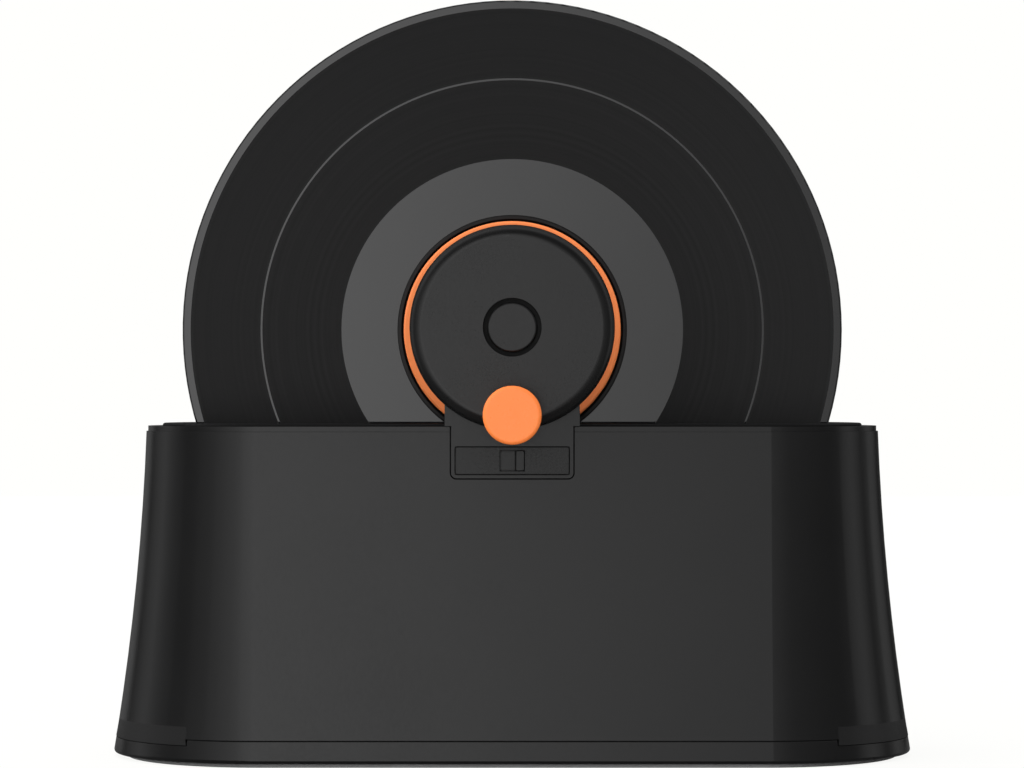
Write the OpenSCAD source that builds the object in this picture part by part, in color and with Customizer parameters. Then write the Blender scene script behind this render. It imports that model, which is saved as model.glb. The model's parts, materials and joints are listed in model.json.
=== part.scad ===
// Hand-cranked record cleaning machine.
// A record stands in a water tank between two brushes. Two label guards clamp it on an axle,
// and the crank disc in front turns it. The axle runs in two bearing blocks that drop into
// notches in the flared oval shell.
// X runs along the body, Y from the crank side to the back, Z up. The origin is on the table,
// under the middle of the record.

/* [Record] */
// Diameter of the record
record_d = 301.6; // [298:0.1:303]
// Thickness of the record at its label
record_t = 2; // [1.6:0.1:2.4]
// How much lower the grooved face lies than the label, on each side
groove_drop = 0.2; // [0.1:0.05:0.3]
// Width of the raised bead round the record's edge
bead_w = 3.8; // [2:0.1:5]
// Diameter of the paper label
label_d = 100; // [98:0.5:101]
// Thickness of the paper label
label_t = 0.15; // [0.1:0.05:0.3]
// Diameter of the hole in the record
record_hole_d = 7.3; // [7.24:0.02:7.6]

/* [Shell] */
// How much closer the centres of the round ends lie than the record is wide
end_inset = 71.6; // [60:0.1:80]
// Radius of the round ends, just below the rim
rim_r = 52.1; // [50:0.5:60]
// Radius of the round ends at the table
foot_r = 67.2; // [64:0.1:74]
// How far the wall bows inward between rim and table
flare_bow = 2.4; // [1:0.1:4]
// Thickness of the shell's wall
shell_wall = 2.4; // [2:0.1:3]
// Thickness of the flat rim
rim_t = 2.4; // [1.6:0.1:4]
// Width of the flat rim
rim_w = 6.9; // [6:0.1:9]
// How far the rim steps in from the wall
rim_step = 0.8; // [0.3:0.1:1.2]
// Radius of the screw bosses
boss_r = 4.5; // [3.5:0.1:5]
// Height of the screw bosses
boss_h = 20; // [14:1:30]
// Distance of the side bosses from the middle of the body
boss_x = 75; // [60:1:95]
// Thickness of the ribs inside the shell and the base
rib_t = 2; // [1.2:0.1:3]

/* [Base] */
// Height of the seam between base and shell
base_h = 11.7; // [9:0.1:16]
// Thickness of the base's floor
base_floor = 3; // [2.4:0.1:4]
// Radius of the rolled lower edge of the base
base_roll = 1.4; // [1:0.1:2.6]
// Width of the rubber ring under the base
foot_w = 5.4; // [4:0.1:6]
// How far the rubber ring stands out below the base
foot_drop = 1.7; // [1:0.1:2.5]
// How deep the rubber ring sits in its groove
foot_sink = 1.2; // [0.6:0.1:1.6]
// How far the rubber ring lies in from the outer edge of the base
foot_inset = 1.5; // [1.2:0.1:4]
// How much further in the rubber ring lies at the round ends
foot_end_inset = 3.5; // [0:0.1:5]
// Depth of the small groove along the seam
seam_depth = 0.35; // [0.2:0.05:0.8]
// Height of the ribs that carry the tank above the base's floor
tank_lift = 17.6; // [15:0.1:22]
// Radius of the rib ring that carries the tank
tank_rib_r = 30; // [24:0.5:34]
// Radius of the screws in the base
screw_r = 1.5; // [1.2:0.1:2]
// Radius of the heads of all screws
screw_head_r = 3; // [2.5:0.1:3.2]
// Height of the heads of all screws
screw_head_h = 1.8; // [1.2:0.1:2.2]
// Length of the screws in the base
screw_len = 20; // [16:1:26]

/* [End lips] */
// Height of the end lips of the shell
lip_h = 7.6; // [5:0.1:10]
// How far the end lips reach below the seam
lip_drop = 2.4; // [1.5:0.1:3.5]
// Angle that each end lip spans at its lower edge
lip_angle = 127; // [90:1:150]
// Thickness of the end lips below the seam
lip_t = 1.4; // [1:0.1:1.6]
// How far the lower edge of the end lips stands proud of the wall
lip_proud = 0.15; // [0.05:0.05:0.6]
// Lean of the end lips' short sides
lip_lean = 11; // [0:1:20]
// Radius of the end lips' upper corners
lip_round = 1.4; // [0.6:0.1:2]

/* [Water tank] */
// Thickness of the tank's wall and floor
tank_wall = 2.2; // [1.6:0.1:3]
// How far the tank's rim stands above the shell's rim
tank_rise = 1.3; // [0.5:0.1:3]
// Space under the record in the tank
under_record = 18.6; // [12:0.1:20]
// Radius of the tank's lower edge
tank_roll = 8; // [4:0.5:12]
// Height of the fill mark below the label guards
fill_drop = 10; // [6:0.5:20]

/* [Brushes] */
// Width of the brush holders
holder_w = 36; // [26:1:50]
// Thickness of the brush holders' plates
holder_t = 2; // [1.4:0.1:3]
// Width of the bristle pads
pad_w = 22; // [14:1:24]
// Length of the bristles
bristle_len = 10; // [6:0.5:14]
// Radius of a bristle tuft
tuft_r = 1.5; // [1:0.1:2]
// Distance between the tufts
tuft_pitch = 5; // [4.2:0.1:7]

/* [Bearing blocks] */
// Height of the axle above the rim
axle_rise = 43.7; // [40:0.1:46]
// Width of a bearing block above the rim
block_w = 60; // [56:0.5:70]
// Width of its stem in the notch
stem_w = 54.3; // [48:0.1:56]
// How far the stem reaches below the rim
stem_h = 22.9; // [20:0.1:28]
// Radius of the stem's lower corners
stem_round = 2.4; // [1:0.1:4]
// Thickness of a bearing block
block_t = 6; // [5.6:0.1:9]
// Thickness of the walls of the pocket that guides the stem
pocket_wall = 1.6; // [1.2:0.1:2]
// Width of the block's window
window_w = 51.2; // [40:0.1:52]
// Height of the block's window
window_h = 12.8; // [12.4:0.1:14]
// Radius of the window's corners
window_round = 1.4; // [1:0.1:2.5]
// Height of the window above the foot of the stem
window_rise = 1.4; // [1.2:0.1:3]
// Thickness of the plate in the window
cover_t = 0.8; // [0.8:0.1:1.4]
// How far the plate lies below the block's face
cover_sink = 0.4; // [0.2:0.1:0.8]

/* [Slide locks] */
// Width of the slot in the plate
slot_w = 11.2; // [9:0.1:14]
// Height of the slot in the plate
slot_h = 9.4; // [8:0.1:10]
// Width of the lock's thumb piece
thumb_w = 3.5; // [3:0.1:5]
// Radius of the thumb piece's corners
thumb_round = 0.8; // [0.4:0.1:1.4]
// How far the thumb piece stands out of the plate
thumb_proud = 0.3; // [0.1:0.05:0.4]
// Height of the lock's bolt
bolt_h = 5.6; // [4:0.1:6]
// Thickness of the lock's bolt
bolt_t = 2.2; // [1.6:0.1:2.4]
// Thickness of the lock's plate behind the slot
slide_t = 1; // [0.8:0.1:1.4]
// How far the lock's plate reaches past the slot
slide_over = 0.6; // [0.4:0.1:0.8]

/* [Axle and sleeves] */
// Radius of the steel spindle
spindle_r = 3.5; // [3:0.05:3.55]
// Radius of the bore in the spindle
spindle_bore_r = 1.6; // [1.3:0.05:2]
// How far the spindle reaches behind the record
nose_len = 11; // [8:0.5:14]
// Radius of the sleeves that run in the bearings
sleeve_r = 8; // [6.5:0.1:9]
// Radius of the bearings' outer wall
bearing_r = 11; // [10:0.1:12]
// Radius of the bearings' flange
bearing_flange_r = 13.5; // [12.5:0.1:15]
// Thickness of the bearings' flange
bearing_flange_t = 1.2; // [0.8:0.1:1.6]

/* [Label guards] */
// How far the label guards reach past the label's edge
guard_over = 2.3; // [1.9:0.05:4]
// Width of the guards' raised edge
guard_lip_w = 1.8; // [1:0.1:2]
// Distance from the record's middle plane to the guards' plate
guard_gap = 3; // [2.6:0.1:4]
// Thickness of the guards' plate
guard_t = 2.5; // [2:0.1:3.5]
// How far the orange rings lie in from the guards' edge
ring_inset = 2.95; // [2.5:0.05:6]
// Width of the orange rings
ring_w = 7.4; // [5:0.1:10]
// Height of the orange rings
ring_h = 5.5; // [3:0.1:7]
// Width of the seals that press on the record
seal_w = 1.6; // [1:0.1:1.7]
// Radius of the sleeves' flange
flange_r = 18; // [16.5:0.5:24]
// Thickness of the sleeves' flange
flange_t = 3; // [2:0.1:4]

/* [Crank] */
// Radius of the crank disc
disc_r = 44.9; // [43:0.1:47]
// Thickness of the crank disc at its edge
disc_t = 8; // [6.5:0.1:11]
// Thickness of the crank disc's face
disc_wall = 2.5; // [1.8:0.1:3]
// Radius of the rounded edge of the crank disc
disc_fillet = 5.3; // [3:0.1:5.8]
// Radius of the hub behind the crank disc
hub_r = 16; // [15:0.1:20]
// Distance from the bearing block to the back of the disc
hub_len = 22; // [20:0.5:28]
// Radius of the well in the middle of the disc
well_r = 12.8; // [11.8:0.1:14]
// Depth of the well
well_depth = 6.5; // [4:0.1:7]
// Radius of the button in the well
button_r = 10.8; // [9:0.1:11]
// Travel of the button
button_travel = 2.5; // [1.5:0.1:3]
// Radius of the crank knob
knob_r = 12.7; // [10:0.1:15]
// Length of the crank knob
knob_len = 22.7; // [18:0.1:30]
// Radius of the knob's rounded edges
knob_round = 1.6; // [0.6:0.1:2.5]
// Distance of the knob from the axle
knob_offset = 38.2; // [36:0.1:39]
// Radius of the knob's pin
pin_r = 3; // [2.5:0.1:3.5]
// Radius of the clamp knob at the back
clamp_knob_r = 22; // [18:0.5:26]
// Length of the clamp knob
clamp_knob_len = 17; // [14:0.5:24]
// Travel of the rear clamp
clamp_travel = 20; // [15:0.5:20]

/* [Clearances] */
// Gap between the tank and the shell's opening
tank_gap = 0.5; // [0.4:0.1:1]
// Parting gap round the stem of a bearing block
notch_gap = 0.55; // [0.3:0.05:0.8]
// Gap round the plate in the window
window_gap = 0.3; // [0.1:0.05:0.5]
// Gap round the thumb piece in its slot
thumb_gap = 0.4; // [0.2:0.05:0.6]
// Gap between the stem and the back of its pocket
guide_gap = 0.2; // [0.1:0.05:0.4]
// Gap round parts that slide in one another
slide_gap = 0.2; // [0.1:0.05:0.3]
// Gap between a shaft and the bore it runs in
running_gap = 0.05; // [0.02:0.01:0.1]
// Gap round parts that are pushed together for good
seat_gap = 0.02; // [0:0.01:0.05]
// Gap between faces that turn past each other
turn_gap = 0.6; // [0.3:0.1:1]
// Gap under the end lips in the base's wall
lip_gap = 0.3; // [0.1:0.05:0.6]
// Angle left free beside the end lips in the base's wall
lip_side_gap = 0.8; // [0.4:0.1:1.5]
// Gap between the bristles and the record
bristle_gap = 0.4; // [0.3:0.1:1]

/* [Hidden] */

FRONT = false;
REAR = true;
curve_fn = 96;
arc_fn = 720;

black = [0.10, 0.10, 0.11];
soft_black = [0.15, 0.15, 0.16];
grey = [0.45, 0.45, 0.46];
orange = [0.95, 0.42, 0.16];
steel = [0.75, 0.76, 0.78];
white = [0.92, 0.92, 0.90];

// Heights, from the table up to the record, its axle and the rim
base_top = foot_drop + base_floor;
tank_z = base_top + tank_lift;
record_foot_z = tank_z + tank_wall + under_record;
axle_z = record_foot_z + record_d / 2;
body_h = axle_z - axle_rise;
tank_top = body_h + tank_rise;
stem_foot = body_h - stem_h;
window_z = stem_foot + window_rise;
lock_z = window_z + window_h / 2;

// Lengths that follow the record and its label
end_pitch = record_d - end_inset;
end_x = end_pitch / 2;
foot_end_x = end_x - foot_end_inset;
guard_r = label_d / 2 + guard_over;
ring_r = guard_r - ring_inset;
fill_z = axle_z - guard_r - fill_drop;

// Flared wall: a circular arc from the table to the foot of the rim, bowed inward
wall_top = body_h - rim_t;
flare_run = foot_r - rim_r;
flare_chord = norm([flare_run, wall_top]);
flare_radius = (pow(flare_chord / 2, 2) + pow(flare_bow, 2)) / (2 * flare_bow);
flare_pull = flare_radius - flare_bow;
flare_mid = [(foot_r + rim_r) / 2, wall_top / 2];
flare_centre = flare_mid + [wall_top, flare_run] * flare_pull / flare_chord;
function flare_at(z) = flare_centre.x - sqrt(pow(flare_radius, 2) - pow(z - flare_centre.y, 2));

// Distances from the record's middle plane
opening_r = rim_r - rim_w;
tank_r = opening_r - tank_gap;
pocket_back = opening_r + pocket_wall;
block_in = pocket_back + guide_gap;
block_out = block_in + block_t;
cover_in = block_out - cover_sink - cover_t;
bolt_in = cover_in - slide_gap / 2 - bolt_t;
half_groove = record_t / 2 - groove_drop;
label_face = record_t / 2 + label_t;
guard_face = guard_gap + guard_t;
hub_start = block_out + bearing_flange_t + turn_gap;
disc_back = block_out + hub_len;
disc_face = disc_back + disc_t;
// Length by which the disc's ribs run into its rim and its face
rib_bite = 0.3;
sleeve_grip = 5;
sleeve_end = hub_start + sleeve_grip;
rear_grip = 9;
rear_sleeve_end = hub_start + rear_grip;
web_t = 2;
spindle_end = sleeve_end + 10;
button_floor = spindle_end;
button_wall = 1.6;
socket_end = nose_len + 3;

// Screws
boss_y = flare_at(base_h + boss_h) - shell_wall - boss_r - 1;
post_r = boss_r + 1;
seat_z = foot_drop + screw_head_h + 1.2;
guard_screw_pitch = (sleeve_r + flange_r) / 2;

// Knob
collar_t = 1;
collar_r = pin_r + 2.5;
knob_start = disc_face + collar_t + slide_gap;
knob_end = knob_start + knob_len;
snap_t = 3;
snap_space = knob_end - snap_t - 4.5;

// Slide locks
lock_travel = slot_w - thumb_w - 2 * thumb_gap;
thumb_x = slot_w / 2 - thumb_gap - thumb_w;
bolt_tip = stem_w / 2 - 0.6;
slide_x = slot_w / 2 + slide_over;
slide_half_h = slot_h / 2 + slide_over;

// Turns a shape drawn upright so that it faces the crank side or the back.
// There its x stays level, its y points up and its z points away from the record.
module facing(way) {
    rotate([0, 0, way ? 180 : 0])
        rotate([90, 0, 0])
            children();
}

module about_axle(way) {
    facing(way)
        translate([0, axle_z, 0])
            children();
}

// Turns an outline of radius and distance from the record about the axle
module turned(way) {
    about_axle(way)
        rotate_extrude($fn = curve_fn)
            children();
}

// Rectangle between two radii and two heights
module band(r0, r1, a, b) {
    translate([r0, a])
        square([r1 - r0, b - a]);
}

// Rectangle between two radii and two heights with its outer corners rounded
module round_band(r0, r1, a, b, round_r) {
    band(r0, r1, a + round_r, b - round_r);
    band(r0, r1 - round_r, a, b);
    for (corner_y = [a + round_r, b - round_r])
        translate([r1 - round_r, corner_y])
            circle(r = round_r, $fn = 32);
}

// Rectangle between two radii and two heights with only its upper outer corner rounded
module rolled_band(r0, r1, a, b, round_r) {
    band(r0, r1, a, b - round_r);
    band(r0, r1 - round_r, a, b);
    translate([r1 - round_r, b - round_r])
        circle(r = round_r, $fn = 64);
}

// Box between two corners
module box(low, high) {
    translate(low)
        cube(high - low);
}

// Upright rectangle with round corners
module soft_rectangle(x0, x1, y0, y1, round_r) {
    band(x0 + round_r, x1 - round_r, y0, y1);
    band(x0, x1, y0 + round_r, y1 - round_r);
    for (corner_x = [x0 + round_r, x1 - round_r])
        for (corner_y = [y0 + round_r, y1 - round_r])
            translate([corner_x, corner_y])
                circle(r = round_r, $fn = 32);
}

// Sweeps an outline of radius and height round the oval plan, whose ends turn about centre_x
module oval_sweep(centre_x = end_x) {
    for (side = [0, 180])
        rotate([0, 0, side]) {
            translate([centre_x, 0, 0])
                rotate([0, 0, -90])
                    rotate_extrude(angle = 180, $fn = curve_fn)
                        children();
            rotate([90, 0, 90])
                linear_extrude(height = 2 * centre_x, center = true)
                    children();
        }
}

// Sweeps an outline round part of one end
module end_sweep(side, span) {
    rotate([0, 0, side])
        translate([end_x, 0, 0])
            rotate([0, 0, -span / 2])
                rotate_extrude(angle = span, $fn = curve_fn)
                    children();
}

// Outline of the flared wall between two heights, from a depth under its outer face
module wall_band(z0, z1, depth, thickness) {
    intersection() {
        band(0, foot_r + 10, z0, z1);
        difference() {
            translate(flare_centre)
                circle(r = flare_radius + depth + thickness, $fn = arc_fn);
            translate(flare_centre)
                circle(r = flare_radius + depth, $fn = arc_fn);
        }
    }
}

// Places copies at the six screws that hold base and shell together
module at_bosses() {
    for (side = [0, 180])
        rotate([0, 0, side]) {
            for (x = [-boss_x, boss_x])
                translate([x, boss_y, 0])
                    children();
            translate([foot_end_x + boss_y, 0, 0])
                rotate([0, 0, -90])
                    children();
        }
}

// Small diamond that cuts the groove along the seam
module seam_diamond() {
    translate([flare_at(base_h), base_h])
        circle(r = seam_depth, $fn = 4);
}

// Outline of an end lip: flush with the wall at its top, proud and below the seam at its foot
module lip_outline() {
    foot = base_h - lip_drop;
    top = foot + lip_h;
    inner = flare_at(base_h) - lip_t;
    polygon([[inner, foot], [flare_at(foot) + lip_proud, foot], [flare_at(top), top],
        [flare_at(top) - shell_wall / 2, top], [inner, base_h + lip_t]]);
}

module end_lip(side) {
    difference() {
        end_sweep(side, lip_angle)
            lip_outline();
        for (end = [0, 1])
            rotate([0, 0, side])
                translate([end_x, 0, 0])
                    mirror([0, end, 0])
                        rotate([0, 0, lip_angle / 2])
                            translate([flare_at(base_h) - shell_wall, 0, base_h - lip_drop])
                                lip_end_cut();
    }
}

// Space beside a lip's short side, which leans inward and ends in a round corner
module lip_end_cut() {
    lean = [-sin(lip_lean), cos(lip_lean)];
    out = [cos(lip_lean), sin(lip_lean)];
    corner = [-lip_h * tan(lip_lean), lip_h];
    centre = [-(lip_round + (lip_h - lip_round) * out.y) / out.x, lip_h - lip_round];
    rotate([90, 0, 90])
        linear_extrude(height = 2 * shell_wall) {
            polygon([-lean, corner + lean, corner + lean + [lip_h, 0], [lip_h, -1]]);
            difference() {
                polygon([corner + lean * 0.1, [centre.x, lip_h + 0.1], [centre.x, lip_h],
                    centre, centre + lip_round * out, corner + out * 0.1]);
                translate(centre)
                    circle(r = lip_round, $fn = 32);
            }
        }
}

// Space in the base's wall that takes the part of a lip below the seam
module lip_pocket(side) {
    end_sweep(side, lip_angle + lip_side_gap)
        band(flare_at(base_h) - lip_t - seat_gap, foot_r + 1, base_h - lip_drop - lip_gap, base_h + 1);
}

// Standing parts

module foot_ring() {
    color(grey)
        oval_sweep(foot_end_x)
            foot_outline(0);
}

module foot_outline(gap) {
    outer = flare_at(base_h) - foot_inset;
    band(outer - foot_w - gap, outer + gap, 0, foot_drop + foot_sink);
}

module base_tray() {
    color(black)
        difference() {
            union() {
                base_rim();
                base_ribs();
                at_bosses()
                    translate([0, 0, foot_drop])
                        cylinder(r = post_r, h = base_h - foot_drop, $fn = 48);
            }
            oval_sweep(foot_end_x)
                foot_outline(seat_gap);
            for (side = [0, 180])
                lip_pocket(side);
            at_bosses()
                base_screw_hole();
        }
}

// Floor and wall of the base, with a rolled edge that runs tangent into the flared wall
module base_rim() {
    roll_z = foot_drop + base_roll;
    reach = flare_radius + base_roll;
    roll = [flare_centre.x - sqrt(pow(reach, 2) - pow(roll_z - flare_centre.y, 2)), roll_z];
    touch_z = roll_z + base_roll * (flare_centre.y - roll_z) / reach;
    oval_sweep()
        difference() {
            union() {
                wall_band(touch_z, base_h, 0, shell_wall);
                band(0, roll.x, foot_drop, base_top);
                translate(roll)
                    circle(r = base_roll, $fn = 48);
            }
            seam_diamond();
        }
}

// The rib ring and the cross ribs that carry the tank
module base_ribs() {
    oval_sweep()
        band(tank_rib_r - rib_t / 2, tank_rib_r + rib_t / 2, foot_drop, tank_z);
    for (i = [-2:2])
        box([i * end_x / 2 - rib_t / 2, -tank_rib_r, foot_drop],
            [i * end_x / 2 + rib_t / 2, tank_rib_r, tank_z]);
}

module base_screw_hole() {
    translate([0, 0, -1])
        cylinder(r = screw_head_r + 0.5, h = seat_z + 1, $fn = 48);
    cylinder(r = screw_r + seat_gap, h = base_h + 1, $fn = 32);
}

module base_screws() {
    color(steel)
        at_bosses()
            translate([0, 0, seat_z])
                pan_screw(screw_len);
}

// Screw with its head at and below the origin and its shank above
module pan_screw(length) {
    rotate_extrude($fn = 32)
        difference() {
            union() {
                band(0, screw_head_r, -screw_head_h, 0);
                band(0, screw_r, 0, length);
            }
            band(0, screw_head_r / 3, -screw_head_h - 1, -screw_head_h / 2);
        }
}

module outer_shell() {
    color(black)
        difference() {
            union() {
                oval_sweep()
                    shell_outline();
                for (way = [FRONT, REAR])
                    facing(way)
                        pocket();
                shell_bosses();
                for (side = [0, 180])
                    end_lip(side);
            }
            for (way = [FRONT, REAR])
                facing(way)
                    notch();
            at_bosses()
                translate([0, 0, base_h - 1])
                    cylinder(r = screw_r + seat_gap, h = boss_h - 1, $fn = 32);
        }
}

module shell_outline() {
    difference() {
        union() {
            wall_band(base_h, wall_top, 0, shell_wall);
            band(opening_r, rim_r - rim_step, wall_top, body_h);
            band(opening_r, rim_r - shell_wall / 2, wall_top, wall_top + rim_t / 2);
        }
        seam_diamond();
    }
}

// Screw bosses and the ribs that tie them to the wall
module shell_bosses() {
    at_bosses()
        translate([0, 0, base_h])
            cylinder(r = boss_r, h = boss_h, $fn = 48);
    intersection() {
        oval_sweep()
            wall_band(base_h, base_h + boss_h, shell_wall / 2, foot_r / 4);
        at_bosses()
            box([-rib_t / 2, 0, 0], [rib_t / 2, foot_r / 3, body_h]);
    }
}

// Pocket inside the shell that guides the stem of a bearing block
module pocket() {
    side_x = stem_w / 2 + notch_gap + shell_wall;
    translate([0, 0, opening_r])
        linear_extrude(height = flare_at(stem_foot) - shell_wall / 2 - opening_r)
            band(-side_x, side_x, stem_foot - notch_gap - pocket_wall, wall_top);
}

// The notch, the space of the pocket and the hole for the lock's bolt
module notch() {
    half = stem_w / 2 + notch_gap;
    corner_r = stem_round + notch_gap;
    translate([0, 0, pocket_back])
        linear_extrude(height = foot_r)
            soft_rectangle(-half, half, stem_foot - notch_gap, body_h + 2 * corner_r, corner_r);
    box([-half - lock_travel, lock_z - bolt_h / 2 - slide_gap, bolt_in - slide_gap],
        [0, lock_z + bolt_h / 2 + slide_gap, bolt_in + bolt_t + slide_gap]);
}

// Tank and brushes

module water_tank() {
    color(soft_black) {
        oval_sweep()
            tank_outline();
        for (way = [FRONT, REAR])
            facing(way)
                tank_guides();
        for (side = [0, 180])
            end_sweep(side, 50)
                band(tank_r - tank_wall - 0.8, tank_r - tank_wall / 2, fill_z - 0.6, fill_z + 0.6);
    }
}

module tank_outline() {
    band(tank_r - tank_wall, tank_r, tank_z + tank_roll, tank_top - tank_wall / 2);
    translate([tank_r - tank_wall / 2, tank_top - tank_wall / 2])
        circle(r = tank_wall / 2, $fn = 32);
    band(0, tank_r - tank_roll, tank_z, tank_z + tank_wall);
    intersection() {
        band(tank_r - tank_roll, tank_r, tank_z, tank_z + tank_roll);
        translate([tank_r - tank_roll, tank_z + tank_roll])
            difference() {
                circle(r = tank_roll, $fn = 64);
                circle(r = tank_roll - tank_wall, $fn = 64);
            }
    }
}

// Upright rails on the tank's long wall that hold a brush holder
module tank_guides() {
    for (side = [-1, 1])
        translate([side * (holder_w / 2 + slide_gap + rib_t / 2), 0, 0])
            box([-rib_t / 2, tank_z + tank_roll, tank_r - tank_wall - holder_t - 2 * slide_gap],
                [rib_t / 2, fill_z, tank_r - tank_wall / 2]);
}

// Carrier of a bristle pad: a channel with a grip tab that stands between the tank's rails
module brush_holder(way) {
    back = tank_r - tank_wall - slide_gap;
    pad_back = pad_plate_out();
    foot = tank_z + tank_roll;
    top = axle_z - guard_r - 4;
    half = holder_w / 2;
    color(soft_black)
        facing(way)
            union() {
                box([-half, foot, back - holder_t], [half, top, back]);
                box([-half / 2, top - 1, back - holder_t], [half / 2, body_h - 3, back]);
                box([-half, tank_z + tank_wall, pad_back - holder_t], [half, top, pad_back]);
                for (x = [-1, 1])
                    box([x * (half - 3) - holder_t / 2, foot, pad_back - 1],
                        [x * (half - 3) + holder_t / 2, top, back - 1]);
            }
}

function pad_plate_out() = half_groove + bristle_gap + bristle_len + holder_t + 2 * holder_t;

// Bristle pad: a backing strip with rows of tufts
module brush(way) {
    face = half_groove + bristle_gap;
    strip = face + bristle_len;
    low = axle_z - record_d / 2 + bead_w;
    high = axle_z - label_d / 2 - 10;
    rows = floor((high - low) / tuft_pitch);
    columns = floor((pad_w - 2 * tuft_r) / tuft_pitch);
    color(white)
        facing(way) {
            box([-pad_w / 2, low - tuft_r, strip], [pad_w / 2, high + tuft_r, strip + 2 * holder_t]);
            for (row = [0:rows])
                for (column = [0:columns])
                    translate([(column - columns / 2) * tuft_pitch, low + row * tuft_pitch, face])
                        cylinder(r = tuft_r, h = bristle_len + 0.5, $fn = 16);
        }
}

module brush_holder_front() {
    brush_holder(FRONT);
}

module brush_holder_rear() {
    brush_holder(REAR);
}

module brush_front() {
    brush(FRONT);
}

module brush_rear() {
    brush(REAR);
}

// Bearing blocks and slide locks

module cradle(way) {
    color(black)
        facing(way)
            difference() {
                translate([0, 0, block_in])
                    linear_extrude(height = block_t)
                        block_outline();
                translate([0, axle_z, block_in - 1])
                    cylinder(r = bearing_r, h = block_t + 2, $fn = curve_fn);
                block_hollow();
                window_cut();
            }
}

module block_outline() {
    soft_rectangle(-stem_w / 2, stem_w / 2, stem_foot, body_h + 2 * stem_round, stem_round);
    band(-block_w / 2, block_w / 2, body_h, axle_z);
    translate([0, axle_z])
        circle(r = block_w / 2, $fn = curve_fn);
}

// Hollow on the record's side that leaves an edge, two ribs and a ring round the bearing
module block_hollow() {
    edge = 2.5;
    translate([0, 0, block_in - 1])
        linear_extrude(height = block_t - edge + 1)
            difference() {
                union() {
                    band(edge - block_w / 2, block_w / 2 - edge, body_h + edge, axle_z);
                    translate([0, axle_z])
                        circle(r = block_w / 2 - edge, $fn = curve_fn);
                }
                translate([0, axle_z])
                    circle(r = bearing_flange_r + edge, $fn = curve_fn);
                band(-edge / 2, edge / 2, body_h, axle_z + block_w);
                for (side = [-1, 1])
                    translate([0, axle_z])
                        rotate(side * 60)
                            band(-edge / 2, edge / 2, -block_w, 0);
            }
}

// Window for the plate and the channels for the slide lock behind it
module window_cut() {
    grow = slide_gap / 2;
    reach = slide_x + lock_travel + grow;
    translate([0, 0, cover_in])
        linear_extrude(height = block_t)
            window_outline(0);
    box([-stem_w, lock_z - bolt_h / 2 - grow, bolt_in - grow],
        [slide_x + grow, lock_z + bolt_h / 2 + grow, cover_in + 1]);
    box([-reach, lock_z - slide_half_h - grow, bolt_in + bolt_t - slide_t - grow],
        [reach, lock_z + slide_half_h + grow, cover_in + 1]);
}

module window_outline(inset) {
    soft_rectangle(inset - window_w / 2, window_w / 2 - inset,
        window_z + inset, window_z + window_h - inset, window_round - inset);
}

module lock_cover(way) {
    color(soft_black)
        facing(way)
            translate([0, 0, cover_in])
                linear_extrude(height = cover_t)
                    difference() {
                        window_outline(window_gap);
                        band(-slot_w / 2, slot_w / 2, lock_z - slot_h / 2, lock_z + slot_h / 2);
                    }
}

// Bolt, the plate that keeps the slot closed over the whole travel, and the thumb piece on it
module lock_slide(way) {
    plate_out = bolt_in + bolt_t;
    color(black)
        facing(way) {
            box([-bolt_tip, lock_z - bolt_h / 2, bolt_in],
                [slide_x, lock_z + bolt_h / 2, plate_out]);
            box([-slide_x, lock_z - slide_half_h, plate_out - slide_t],
                [slide_x + lock_travel, lock_z + slide_half_h, plate_out]);
            translate([0, 0, plate_out - slide_t / 2])
                linear_extrude(height = cover_in + cover_t + thumb_proud - plate_out + slide_t / 2)
                    soft_rectangle(thumb_x, thumb_x + thumb_w, lock_z - slot_h / 2 + thumb_gap,
                        lock_z + slot_h / 2 - thumb_gap, thumb_round);
        }
}

module bearing(way) {
    color(white)
        turned(way) {
            band(sleeve_r + running_gap, bearing_r - seat_gap, block_in, block_out + bearing_flange_t);
            rolled_band(sleeve_r + running_gap, bearing_flange_r, block_out,
                block_out + bearing_flange_t, bearing_flange_t / 3);
        }
}

module cradle_front() {
    cradle(FRONT);
}

module cradle_rear() {
    cradle(REAR);
}

module lock_cover_front() {
    lock_cover(FRONT);
}

module lock_cover_rear() {
    lock_cover(REAR);
}

module lock_slide_front() {
    lock_slide(FRONT);
}

module lock_slide_rear() {
    lock_slide(REAR);
}

module bearing_front() {
    bearing(FRONT);
}

module bearing_rear() {
    bearing(REAR);
}

// Record and label guards

module vinyl_record() {
    radius = record_d / 2;
    bead = record_t / 2 - groove_drop / 4;
    color(black)
        turned(FRONT)
            difference() {
                union() {
                    band(0, label_d / 2, -record_t / 2, record_t / 2);
                    band(0, radius - bead_w / 2, -half_groove, half_groove);
                    round_band(radius - bead_w, radius, -bead, bead, bead * 0.9);
                }
                band(-1, record_hole_d / 2, -record_t, record_t);
            }
}

module record_labels() {
    color(orange)
        for (way = [FRONT, REAR])
            turned(way)
                band(record_hole_d / 2, label_d / 2, record_t / 2, label_face);
}

module label_guard(way) {
    color(black)
        about_axle(way)
            difference() {
                rotate_extrude($fn = curve_fn)
                    guard_outline();
                at_guard_screws()
                    translate([0, 0, label_face + 0.8])
                        cylinder(r = screw_r + seat_gap, h = guard_face, $fn = 24);
            }
}

module guard_outline() {
    seal_back = half_groove + seal_w;
    band(spindle_r + running_gap, guard_r, guard_gap, guard_face);
    band(spindle_r + running_gap, guard_screw_pitch + screw_r + 1, label_face, guard_gap);
    band(guard_r - 6.5, guard_r, seal_back, guard_face);
    rolled_band(guard_r - guard_lip_w, guard_r, guard_face, guard_face + 2, 0.6);
}

module at_guard_screws() {
    for (i = [0:2])
        rotate([0, 0, 120 * i + 30])
            translate([guard_screw_pitch, 0, 0])
                children();
}

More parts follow.
